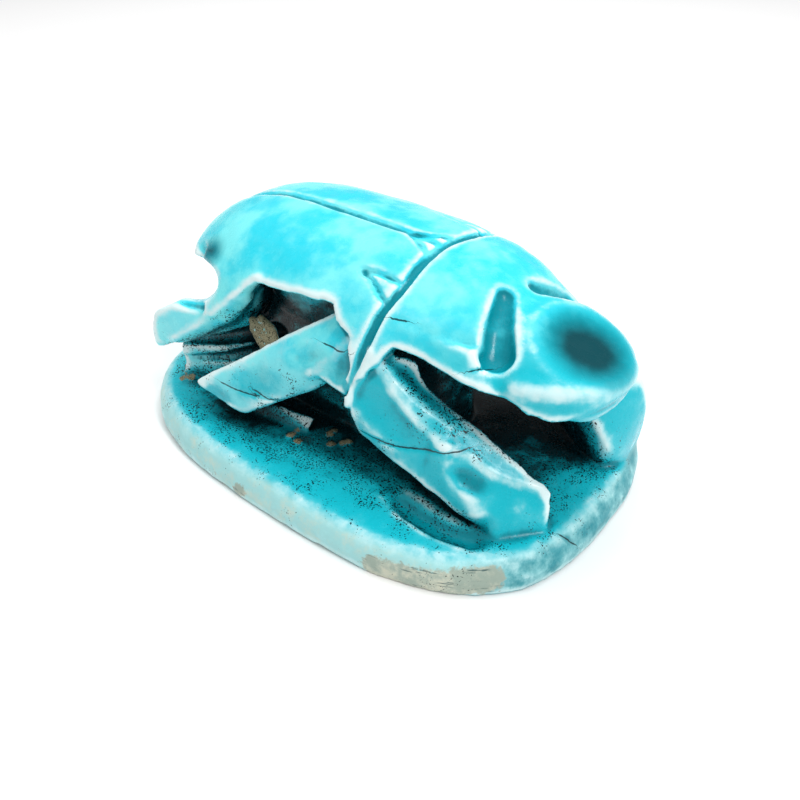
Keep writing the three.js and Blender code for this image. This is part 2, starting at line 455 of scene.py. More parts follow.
# Forms that stand on both sides, by the corners of the near one.
HIND_LEG = [
    (-20.5, -12.5, 11.2), (-21, -12.6, 6.6), (-20, -10.3, 11), (-18.8, -9, 7), (-18.6, -12.1, 8.4),
    (-17.3, -7.6, 10.9), (-13.4, -10.1, 13.2), (-11.4, -10.1, 13.8), (-10.4, -7.6, 11),
    (-8.6, -8, 17.4), (-9.6, -5, 14), (-13.5, -6, 15), (-12, -4, 11),
]
HIND_WEB = [
    (-13.4, -9.3, 17), (-13.2, -10, 12.6), (-11.5, -9.9, 13.7), (-7.1, -8.8, 18),
    (-8, -7, 17.5), (-12, -6, 12), (-14, -6, 16),
]
SHIELD_SIDE = [
    (7.2, -9.2, 17), (11.2, -9.3, 16.7), (15.2, -8.9, 16.1), (17.5, -7.6, 15.4), (19.4, -6.2, 14.4),
    (8, -8.3, 18.8), (12, -7.6, 18.6), (15.5, -6.4, 18), (18, -5, 17), (8, -4, 17.4), (17, -3, 15.4),
]
HIND_SHELF = [
    (-19.2, -10.9, 2), (-19.2, -10.9, 4.6), (-16, -5, 2), (-16, -5, 5),
    (-7.5, -6.2, 2), (-7.2, -5.6, 9), (-9, -4, 9),
]
HIND_BODY = [
    (-19.2, -10.7, 2), (-19.2, -10.7, 8.4), (-17, -6, 2), (-17, -6, 9.5),
    (-10.2, -6.6, 2), (-9.8, -7, 10.6), (-10.5, -4, 11),
]
MIDDLE_LEG = [
    (-12.9, -14, 7), (-13.2, -11.5, 4.8), (-6.5, -13.5, 5.5), (-8, -9.4, 4),
    (-4.2, -9.4, 11.2), (-6.5, -9.4, 10.2), (-2, -11.2, 8.4),
    (1.6, -7.8, 17.9), (4, -9.5, 16.4), (0.2, -10.7, 11.9), (1.9, -10, 11), (1, -6, 12),
]
SHOULDER = [
    (1.6, -7.8, 17.9), (5.6, -8.5, 17), (4, -9.5, 16.4), (0.2, -10.7, 11.9),
    (4.6, -11.2, 11.6), (1.9, -9.2, 10.4), (4.6, -9.5, 10), (5, -6, 12), (1, -6, 12),
]
FRONT_LEG_UPPER = [
    (6.2, -9.1, 16.2), (8.5, -6.5, 15.4), (4.9, -11.7, 11.2), (5.4, -10.6, 8), (7, -7, 8),
    (6.3, -11, 8.7), (10.2, -9.9, 12), (10.5, -10.8, 6.2),
    (14.2, -9.1, 9.8), (13.8, -6.4, 11.6), (13.5, -10.5, 5.3), (13, -6.5, 6),
]
TWIN_FORMS = [
    HIND_LEG, HIND_WEB, SHIELD_SIDE, HIND_SHELF, HIND_BODY, MIDDLE_LEG, SHOULDER, FRONT_LEG_UPPER,
]

# The lower front legs differ, and the low ledge by the middle leg is on the near side alone.
WRIST = [(12.8, -9.5, 10.6), (12.4, -6.4, 12.1), (12.2, -10.7, 5.7), (11.6, -6.5, 6.8)]
NEAR_TOE = [(22.1, -4.9, 6.6), (21.7, -4.9, 2), (22.8, -7.2, 2), (18.6, -10.2, 4.6), (20.8, -9.6, 2)]
FAR_TOE = [
    (22.6, 3.6, 6.4), (22.2, 4, 2), (23.4, 6.5, 2), (23.5, 9.4, 8.4), (22.6, 10.6, 2), (16.5, 9.5, 12),
    (22.9, 8.8, 10.8), (20.2, 2.8, 10), (20.8, 4.6, 11), (23.3, 10.4, 5), (23.4, 5, 4.4),
]
UNDER_LEDGE = [
    (-9, -9.6, 4.8), (-9, -8, 3), (-2.4, -9.2, 5), (-1.6, -8.4, 4.6), (-2, -9.9, 3), (-8.6, -10.8, 3),
]

# A soft ridge on which the flank runs down into the hind leg: its path and radii.
HIND_RIDGE = [(-9.6, -9, 15.2), (-12, -9.6, 13), (-14.6, -10.2, 11.2), (-17.8, -11, 9)]
HIND_RIDGE_RADII = [0.7, 1.0, 1.0, 0.8]

# Deep round cuts on both sides, with their radii and blends: the notch under the tail,
# the two slots under the hind leg, and the hollow under the neck shield's margin.
DEEP_CUTS = [
    (
        [(-12.8, -11.8, 16.9), (-15.7, -9.5, 15.1), (-17.6, -8, 13.9), (-19.6, -5, 13.3), (-20.2, 0, 13)],
        [2.1, 2.05, 2.0, 1.9, 1.8], 0.3,
    ),
    (
        [(-19.8, -11.2, 7.2), (-15, -8.6, 8.3), (-10.6, -6.6, 9.8), (-8, -4, 9.8)],
        [0.4, 0.62, 0.8, 1.0], 0.15,
    ),
    (
        [(-18.6, -10.6, 5.5), (-14, -8.6, 6.4), (-10.2, -6.5, 8), (-7, -4.4, 8.2)],
        [0.36, 0.55, 0.75, 1.0], 0.15,
    ),
    (
        [(8, -8.6, 15.4), (11.2, -7.2, 13.6), (15, -5.6, 12.2)],
        [0.5, 1.3, 1.4], 0.4,
    ),
]

# The bowl of the head, the shaded line under its lip, and the lip itself.
BOWL_MIDDLE = (20.5, -0.4, 18.1)
BOWL_REACH = (4.5, 4.7, 4.8)
BOWL_DEPTH = 1.6
UNDER_LIP = [
    (17.8, -7.3, 14.7), (20, -6, 14.6), (22.4, -4.2, 14.6), (23.9, -1.6, 14.6), (24.3, 1, 14.5),
    (23.6, 4, 14.6),
]
HEAD_LIP = [(18.6, -6.8, 16.4), (20.8, -5.9, 16.5), (22.9, -3.8, 16.2), (24, -0.9, 15.8), (24.3, 2.7, 15.1)]

# Where the glaze is darkest, in the bowl and on the tail: two ends, width and depth.
DARK_POOLS = [
    ((17.5, -1.3, 19), (24.3, 1.1, 16.5), 7.0, 3.2),
    ((-16.9, -7.7, 17.2), (-13.3, -8.1, 18.3), 2.4, 1.5),
]

# Shallow hollows in the facets: two ends, width, depth, and whether glaze pools in them.
DISHES = [
    ((5.9, -10.6, 13), (11.5, -10.4, 9), 3.0, 0.35, True),
    ((8.8, -8.9, 14.8), (14, -7.4, 11.2), 2.6, 0.35, False),
    ((14.6, -9.6, 7.8), (18, -8.6, 7), 2.0, 0.4, True),
    ((-2, -10.6, 12.6), (1.2, -10.2, 14), 2.2, 0.3, True),
    ((-7.5, -12.6, 8.4), (-3.2, -11.8, 10), 2.6, 0.3, True),
    ((-11, -13.4, 6.6), (-8.4, -13.2, 6.6), 1.6, 0.2, True),
    ((-17.2, -10.4, 11.6), (-13.6, -9.6, 12.6), 1.6, 0.25, True),
    ((-18, -7, 17.2), (-16.2, -8, 16.4), 1.5, 0.3, True),
    ((3.2, -10.3, 12.2), (4.1, -10, 15.2), 1.7, 0.3, True),
]
CHANNEL = [(9, -10.8, 3.3), (12, -11.3, 3.3), (15.5, -11.5, 3.3), (19, -10.6, 3.3)]

# Lines cut along the surface.
SEAM = [(-22.5, 0, 15), (-20.5, 0, 18.5), (-15, 0.1, 21.2), (-8, -0.1, 22), (-1, 0, 22.2), (6.2, 0.2, 21.8)]
COLLAR = [
    (4.7, -11.6, 10.9), (5, -11.1, 12.6), (5.5, -10.6, 14.6), (5.9, -9.5, 16.6), (6.1, -7.7, 18.6),
    (6.6, -5.6, 20.4), (6.4, -3, 21.4), (6.3, 0.2, 21.8), (6.8, 3, 21.7), (6.8, 7, 20.6),
    (6.4, 10.3, 18), (5.6, 12, 14.5), (5, 12.5, 12),
]
SEAM_FORK = [(2.8, -0.1, 22), (4.8, -1, 21.9), (6.2, -1.8, 21.7)]
SHOULDER_LINES = [
    [(2.1, -5.8, 20.8), (4.2, -5.5, 20.7), (6.4, -5.4, 20.4)],
    [(2.1, -5.8, 20.8), (3.8, -6.2, 20.3), (5.7, -7, 19.3)],
]
NECK_SLOTS = [
    [(13.5, -1.2, 20), (14.8, -3.8, 19), (15.9, -5.6, 17.7)],
    [(14.5, 2.2, 19.8), (15.8, 4.2, 19), (16.6, 5.8, 17.8)],
]
NECK_SLOT_RADII = [0.95, 1.25, 1.5]

# Edges between facets, and whether the far side has them too.
RIDGES = [
    ([(6.2, -9.2, 16), (8.5, -10, 14), (10.3, -9.9, 12), (13.9, -9.2, 9.7)], True),
    ([(13.9, -9.2, 9.7), (15.8, -8.4, 9.3), (18.3, -7.5, 7.7), (22.1, -5, 6.7)], False),
    ([(-7.1, -8.7, 18), (-11.5, -9.9, 13.7), (-18.4, -11.9, 8.5)], True),
    ([(4, -9.5, 16.3), (2.2, -10.1, 14), (0.2, -10.6, 11.9)], True),
]

# Fine cracks, on the near side and two on the far one.
CRACKS = [
    [
        (6.3, -11, 8.7), (8.5, -11, 8.7), (10.2, -10.4, 8.6), (12.8, -9.7, 9.1), (14.5, -9.3, 9.5),
        (15.3, -8.1, 9.6),
    ],
    [(13.4, -7.2, 11.1), (13.9, -6.6, 11.6), (13.8, -6.2, 10.8)],
    [(7.2, -7.9, 18.8), (8.5, -7.6, 18.9)],
    [(-9.2, -13.2, 8.1), (-7.2, -12.8, 7.8), (-5.2, -12.3, 7.8)],
    [(-5.6, -12.2, 8.3), (-4, -12, 8), (-2.8, -11.5, 8.3)],
    [(1.7, -10.7, 15.4), (4, -10.5, 15)],
    [(14.9, -7.8, 17), (15.7, -6.1, 16.4)],
    [(-15.1, -8.9, 6.7), (-14, -8.5, 6.1)],
    [(23.5, -5.8, 3.1), (24.6, -4.9, 1.9)],
    [(-8, 9, 18), (-5, 9.6, 17.4), (-3, 9.2, 17.9)],
    [(9, 9.8, 12), (12, 9.9, 9.5), (14.6, 9.4, 8.8)],
]

# Lumps of the clod by the hind leg, with their radii.
CLODS = [
    ([(-9.3, -8.5, 12.6), (-7.4, -8.9, 12.2), (-6, -9.4, 11.6)], [0.45, 0.6, 0.5]),
    ([(-8.4, -8.3, 13.1), (-6.6, -8.7, 12.7), (-5.6, -9.2, 12.1)], [0.35, 0.5, 0.4]),
    ([(-9, -8.9, 12.1), (-7.3, -9.4, 11.5), (-6.5, -9.8, 11.3)], [0.35, 0.5, 0.4]),
]

# Clusters of soil grains on the base: middle in x and y, how far they spread, and how many.
GRAIN_CLUSTERS = [(1, -9, 1.4, 5), (-2.4, -10.4, 0.7, 4), (-18.4, -10.8, 0.6, 4)]

# Where the glaze is gone from the sides of the base: a path and its radius.
BARE_STONE = [
    ([(12.6, -16.8, 0.8), (15, -16.2, 0.9), (18, -14.8, 1.1), (20.8, -12.4, 1.6)], 1.3),
    ([(-3.6, -17.6, 0.7), (-2.6, -17.6, 0.9)], 0.6),
    ([(-14, 16.4, 0.9), (-10, 17.2, 0.8)], 1.0),
]


def both_sides(path):
    """A path and its like on the far side."""
    return [path, [(x, -y, z) for x, y, z in path]]


def rough_out(stone):
    """The main forms, as the solid has them."""
    stone.add(back_dome())
    stone.add(head_dome(), 0.8)
    stone.cut(side_profile(UNDER_MARGIN), 0.5)
    stone.add(trunk(), 0.8)
    for corners in TWIN_FORMS:
        stone.add(block(corners), 0.25)
        stone.add(block(far_side(corners)), 0.25)
    stone.add(block(WRIST + NEAR_TOE), 0.25)
    stone.add(block(far_side(WRIST) + FAR_TOE), 0.25)
    stone.add(block(UNDER_LEDGE, 0.25), 0.25)
    for path in both_sides(HIND_RIDGE):
        stone.add(rod(path, HIND_RIDGE_RADII), 0.9)
    stone.add(oval_base(), 0.4)


def undercut(stone):
    """The deep cuts between legs, body and base."""
    for near_path, radii, blend in DEEP_CUTS:
        for path in both_sides(near_path):
            stone.cut(rod(path, radii), blend)


def hollow_facets(stone):
    """The bowl of the head, the channels by the front legs, and hollows in which glaze pools."""
    stone.sink(BOWL_MIDDLE, BOWL_REACH, BOWL_DEPTH)
    stone.groove(UNDER_LIP, 1.5, 0.25, (0.5, 1), 0.3)
    # The pool mark along the groove paints the shaded band under the lip darker teal: painted shade together
    # with pooled glaze.
    points, _ = stone.on_surface(UNDER_LIP)
    stone.marks["pool"].append(rod(points, [0.75] * len(points)))
    stone.dish((8.6, -8.6, 18), (14.6, -7.9, 17), 2.8, 0.4, False, 0.9)
    for start, end, width, depth in DARK_POOLS:
        stone.marks["dark_pool"].append(scoop(start, end, width, depth))
    for side in (1, -1):
        to_side = np.array((1, side, 1))
        for start, end, width, depth, pools in DISHES:
            stone.dish(start * to_side, end * to_side, width, depth, pools)
        channel = CHANNEL * to_side
        stone.groove(channel, 2.2, 0.9, (3, 1), 0.6)
        # The pool mark paints the channel dark teal: painted shade under the overhanging leg together with
        # pooled glaze.
        stone.marks["pool"].append(rod(channel, [0.3, 0.9, 1.5, 1.2]))


def raise_ridges(stone):
    """Crisp edges between facets and the lip of the head, on which the glaze is thin."""
    for ridge, on_both_sides in RIDGES:
        for path in both_sides(ridge) if on_both_sides else [ridge]:
            points, out = stone.on_surface(path)
            form = rod(points - 0.28 * out, [0.38] * len(points))
            stone.add(form, 0.5)
            stone.marks["ridge"].append(form)
    points, out = stone.on_surface(HEAD_LIP)
    stone.add(rod(points - 0.5 * out, [0.75] * len(points)), 0.8)
    stone.marks["ridge"].append(rod(points, [0.55] * len(points)))


def engrave(stone):
    """The cut lines of the back and the slots of the neck."""
    stone.groove(SEAM, 0.95, 0.4, (3, 0.3))
    stone.groove(COLLAR, 0.85, 0.55, (0.6, 1))
    for path in both_sides(SEAM_FORK):
        stone.groove(path, 0.6, 0.3, (0.4, 0))
    for line in SHOULDER_LINES:
        for path in both_sides(line):
            stone.groove(path, 0.55, 0.28, (0.5, 0))
    for path in NECK_SLOTS:
        points, out = stone.on_surface(path, 99)
        form = rod(points + 0.2 * out, NECK_SLOT_RADII)
        stone.cut(form, 0.3)
        stone.marks["pool"].append(form)


def weather(stone):
    """Uneven hand carving, worn edges and pitted stone."""
    filled = np.clip(0.5 - stone.outside / stone.step, 0, 1)
    worn = np.clip(1 - 2 * spread(filled, max(int(0.5 / stone.step), 1)), 0, 1)
    stone.outside += 0.09 * lumpy(stone.axes, 2.9, 1)
    stone.outside += 0.04 * lumpy(stone.axes, 1.1, 2)
    stone.outside += worn * (0.05 + 0.25 * np.maximum(lumpy(stone.axes, 0.8, 3), 0))


def crack(stone):
    """Fine cracks in the stone, and where each runs."""
    for path in CRACKS:
        stone.groove(path, 0.3, 0.16, (0.6, 0.6), 0.08)
        stone.cracks.append(stone.on_surface(path))


def soil(stone):
    """A clod of soil by the hind leg, grains on the base, and where bare stone shows."""
    random = np.random.default_rng(SEED)
    lumps = list(CLODS)
    for x, y, reach, count in GRAIN_CLUSTERS:
        for aside in random.uniform(-reach, reach, (count, 2)):
            spot = np.array((x + aside[0], y + aside[1], BASE_HEIGHT))
            lumps.append(([spot, spot + random.uniform(-0.3, 0.3, 3)], [0.3, 0.2]))
    for path, radii in lumps:
        form = rod(path, radii)
        stone.add(form, 0.25)
        stone.marks["dirt"].append(form)
    for path, radius in BARE_STONE:
        stone.marks["bare"].append(rod(path, [radius] * len(path)))


def carve():
    """Carves the amulet and gives back the stone."""
    stone = Stone(GRID_LOW, GRID_HIGH, GRID_STEP)
    rough_out(stone)
    undercut(stone)
    hollow_facets(stone)
    raise_ridges(stone)
    engrave(stone)
    weather(stone)
    crack(stone)
    soil(stone)
    return stone


# ---------------------------------------------------------------- the skin

def skin(stone):
    """The zero surface of the stone's field, as points and four-sided faces."""
    field = stone.outside
    solid = field < 0
    size = [n - 1 for n in field.shape]

    def corner(array, offset):
        return array[tuple(slice(o, o + n) for o, n in zip(offset, size))]

    filled = sum(corner(solid, offset).astype(np.int8) for offset in CORNERS)
    cells = np.argwhere((filled > 0) & (filled < 8))
    number = np.full(size, -1, np.int64)
    number[tuple(cells.T)] = np.arange(len(cells))
    total = np.zeros((len(cells), 3))
    count = np.zeros(len(cells))
    for a, b in EDGES:
        at_a = field[tuple((cells + a).T)]
        at_b = field[tuple((cells + b).T)]
        crosses = (at_a < 0) != (at_b < 0)
        share = np.where(crosses, at_a / np.where(crosses, at_a - at_b, 1), 0)
        total += crosses[:, None] * (np.array(a) + share[:, None] * (np.array(b) - np.array(a)))
        count += crosses
    points = stone.low + stone.step * (cells + total / count[:, None])

    faces = []
    for axis in range(3):
        one, two = (axis + 1) % 3, (axis + 2) % 3
        step = np.eye(3, dtype=int)
        ahead = tuple(slice(1, None) if n == axis else slice(None) for n in range(3))
        behind = tuple(slice(None, -1) if n == axis else slice(None) for n in range(3))
        changes = solid[ahead] != solid[behind]
        spots = np.argwhere(changes)
        inner = (spots[:, one] > 0) & (spots[:, two] > 0)
        inner &= (spots[:, one] < size[one]) & (spots[:, two] < size[two])
        spots = spots[inner]
        ring = [spots - step[one] - step[two], spots - step[two], spots, spots - step[one]]
        quad = np.stack([number[tuple(cell.T)] for cell in ring], 1)
        leaves = solid[tuple(spots.T)]
        faces.append(np.where(leaves[:, None], quad, quad[:, ::-1]))
    return points, np.concatenate(faces)


def largest_part(points, faces):
    """The largest connected part alone, without crumbs or closed bubbles."""
    label = np.arange(len(points))
    while True:
        fresh = label.copy()
        lowest = label[faces].min(1)
        for corner in faces.T:
            np.minimum.at(fresh, corner, lowest)
            np.minimum.at(fresh, label[corner], lowest)
        fresh = fresh[fresh]
        if np.array_equal(fresh, label):
            break
        label = fresh
    part = label[faces[:, 0]]
    names, counts = np.unique(part, return_counts=True)
    largest = names[counts.argmax()]
    kept = np.flatnonzero(label == largest)
    number = np.full(len(points), -1)
    number[kept] = np.arange(len(kept))
    print("parts:", len(names), "with", counts.max(), "of", len(faces), "faces in the largest")
    return points[kept], number[faces[part == largest]]


def mesh_object(name, points, faces):
    """A smooth-shaded mesh object, its points given in millimetres."""
    data = bpy.data.meshes.new(name)
    data.from_pydata((points * MM).tolist(), [], faces.tolist())
    data.update()
    data.polygons.foreach_set("use_smooth", np.ones(len(data.polygons), bool))
    thing = bpy.data.objects.new(name, data)
    bpy.context.scene.collection.objects.link(thing)
    return thing


def points_of(thing):
    """The points of a mesh object, in millimetres."""
    flat = np.empty(len(thing.data.vertices) * 3, np.float32)
    thing.data.vertices.foreach_get("co", flat)
    return flat.reshape(-1, 3).astype(float) / MM


def carved_scarab():
    """The finished carving as a mesh object."""
    stone = carve()
    points, faces = largest_part(*skin(stone))
    points = stone.settle(points, 2, GRID_STEP)
    points = np.clip(points, np.array(CAD_BOX[0]) / MM + 0.02, np.array(CAD_BOX[1]) / MM - 0.02)
    scarab = mesh_object("carved_scarab", points, faces)
    triangles = 2 * len(faces)
    if triangles > MOST_TRIANGLES:
        fewer = scarab.modifiers.new("fewer", "DECIMATE")
        fewer.ratio = MOST_TRIANGLES / triangles
        with bpy.context.temp_override(object=scarab, active_object=scarab):
            bpy.ops.object.modifier_apply(modifier=fewer.name)
    mark(scarab, stone)
    print("carving:", triangles, "triangles, kept", len(scarab.data.polygons))
    return scarab


def mark(scarab, stone):
    """Notes on every point how hollow the stone is round it and what lies on it."""
    points = points_of(scarab)
    filled = np.clip(0.5 - stone.outside / stone.step, 0, 1)
    for name, reach in {"hollow_fine": 0.24, "hollow_mid": 0.5, "hollow_wide": 1.8}.items():
        blurred = spread(filled, max(round(reach / stone.step), 1))
        note(scarab, name, 2 * stone.read(blurred, points) - 1)
    note(scarab, "shelter", shelter(stone, points))
    note(scarab, "crack", crack_side(stone, points))
    out = stone.way_out(points)
    note(scarab, "facing", out[:, 2] / (np.linalg.norm(out, axis=1) + 1e-6))
    for name, forms in stone.marks.items():
        nearest = np.full(len(points), FAR_AWAY)
        for form in forms:
            nearest = np.minimum(nearest, form.distance(*points.T))
        note(scarab, name, nearest)
    x, y, z = points.T
    outline = np.abs(2 * x / BASE_LENGTH) ** OUTLINE_POWER + np.abs(2 * y / BASE_WIDTH) ** OUTLINE_POWER
    inward = np.hypot(x, y) * (np.maximum(outline, 1e-3) ** (-1 / OUTLINE_POWER) - 1)
    note(scarab, "base_side", ramp(inward, 1.9, 1.2) * ramp(z, 3.3, 2.7))


def shelter(stone, points, ways=40, reach=16.0):
    """How much of the open round each point is shut off by stone, from 0 to 1."""
    out = stone.way_out(points)
    out /= np.linalg.norm(out, axis=1)[:, None] + 1e-6
    start = points + out * 0.35
    shut, seen = np.zeros(len(points)), np.zeros(len(points))
    top = np.array(stone.outside.shape) - 1
    for number in range(ways):
        height = 1 - (2 * number + 1) / ways
        turn = number * 2.39996
        level = math.sqrt(1 - height * height)
        way = np.array((level * math.cos(turn), level * math.sin(turn), height))
        weight = np.clip(out @ way, 0, 1)
        blocked = np.zeros(len(points), bool)
        for step in np.geomspace(0.5, reach, 16):
            spot = np.rint((start + way * step - stone.low) / stone.step).astype(int)
            inside = ((spot >= 0) & (spot <= top)).all(1)
            spot = np.clip(spot, 0, top)
            blocked |= inside & (stone.outside[tuple(spot.T)] < 0)
        shut += weight * blocked
        seen += weight
    return shut / np.maximum(seen, 1e-6)


def crack_side(stone, points):
    """How far each point lies from the nearest crack, to one side or the other."""
    nearest = np.full(len(points), 9.0)
    for path, out in stone.cracks:
        for a, b, up in zip(path, path[1:], out):
            close = np.flatnonzero(np.abs(points - a).max(1) < 2)
            run = b - a
            share = np.clip((points[close] - a) @ run / run.dot(run), 0, 1)
            gap = points[close] - a - share[:, None] * run
            away = np.linalg.norm(gap, axis=1)
            side = np.where(gap @ np.cross(up, run) < 0, -away, away)
            closer = away < np.abs(nearest[close])
            nearest[close[closer]] = side[closer]
    return nearest


def note(thing, name, values):
    """Stores one number a point under a name."""
    layer = thing.data.attributes.new(name, "FLOAT", "POINT")
    layer.data.foreach_set("value", np.asarray(values, np.float32))


# ---------------------------------------------------------------- finishes


class Finish:
    """A material and the wiring of its nodes."""

    def __init__(self, name):
        self.material = bpy.data.materials.new(name)
        self.material.use_nodes = True
        self.tree = self.material.node_tree
        self.shader = self.tree.nodes["Principled BSDF"]
        scale = self.node("ShaderNodeVectorMath", operation="SCALE")
        scale.inputs["Scale"].default_value = 1 / MM
        self.feed(self.node("ShaderNodeTexCoord").outputs["Object"], scale.inputs[0])
        self.place = scale.outputs[0]

    def node(self, kind, **settings):
        node = self.tree.nodes.new(kind)
        for name, value in settings.items():
            setattr(node, name, value)
        return node

    def feed(self, value, socket):
        """Links a socket to another, or sets it to a plain value."""
        if isinstance(value, bpy.types.NodeSocket):
            self.tree.links.new(value, socket)
        else:
            socket.default_value = value

    def layer(self, name):
        return self.node("ShaderNodeAttribute", attribute_name=name).outputs["Fac"]

    def math(self, operation, *values):
        node = self.node("ShaderNodeMath", operation=operation)
        for value, socket in zip(values, node.inputs):
            self.feed(value, socket)
        return node.outputs[0]

    def total(self, *values):
        """The sum of values, or of (value, weight) pairs."""
        result = 0.0
        for value in values:
            if isinstance(value, tuple):
                result = self.math("MULTIPLY_ADD", value[0], value[1], result)
            else:
                result = self.math("ADD", value, result)
        return result

    def rise(self, value, start, end, low=0.0, high=1.0):
        """A smooth step from low to high as the value goes from start to end."""
        if start > end:
            start, end, low, high = end, start, high, low
        node = self.node("ShaderNodeMapRange", interpolation_type="SMOOTHSTEP")
        for given, name in zip(
            (value, start, end, low, high), ("Value", "From Min", "From Max", "To Min", "To Max")
        ):
            self.feed(given, node.inputs[name])
        return node.outputs[0]

    def mix(self, share, first, second):
        node = self.node("ShaderNodeMix", data_type="RGBA")
        self.feed(share, node.inputs["Factor"])
        self.feed(first, node.inputs["A"] if isinstance(first, tuple) else node.inputs[6])
        self.feed(second, node.inputs["B"] if isinstance(second, tuple) else node.inputs[7])
        return node.outputs[2]

    def noise(self, size, detail=3.0, shift=0.0, stretch=(1, 1, 1), rough=0.55):
        """Cloudy values with lumps of a size in millimetres."""
        mapping = self.node("ShaderNodeMapping")
        self.feed(self.place, mapping.inputs["Vector"])
        mapping.inputs["Location"].default_value = (shift, shift * 0.7, -shift)
        mapping.inputs["Scale"].default_value = [1 / (size * s) for s in stretch]
        node = self.node("ShaderNodeTexNoise")
        self.feed(mapping.outputs[0], node.inputs["Vector"])
        node.inputs["Scale"].default_value = 1.0
        node.inputs["Detail"].default_value = detail
        node.inputs["Roughness"].default_value = rough
        return node.outputs["Fac"]


# Colours of the glaze, thin to thick, and of what shows through or lies on it; the pooled and the darkest
# glaze also serve as painted shade.
THIN_GLAZE = (0.80, 0.95, 0.95, 1)
PALE_EDGE = (0.30, 0.88, 0.92, 1)
PALE_GLAZE = (0.20, 0.84, 0.88, 1)
BRIGHT_GLAZE = (0.025, 0.66, 0.80, 1)
LEG_GLAZE = (0.008, 0.50, 0.60, 1)
# Dark teal: glaze pooled thick, and painted shade where the stone is sheltered.
POOLED_GLAZE_AND_SHADE = (0.001, 0.25, 0.31, 1)
# Near black: the darkest glaze in the bowl and on the tail, and painted shade in the depths.
DARKEST_GLAZE_AND_SHADE = (0.001, 0.026, 0.034, 1)
RIM_GLAZE = (0.42, 0.74, 0.73, 1)
CREAM_STAIN = (0.62, 0.76, 0.66, 1)
GRIME = (0.003, 0.010, 0.012, 1)
SOIL = (0.29, 0.26, 0.16, 1)
DARK_SOIL = (0.04, 0.035, 0.015, 1)
RUST = (0.30, 0.13, 0.05, 1)
BARE_STONE_GREY = (0.36, 0.40, 0.32, 1)
BARE_STONE_CREAM = (0.66, 0.64, 0.50, 1)
BARE_STONE_DARK = (0.05, 0.07, 0.06, 1)


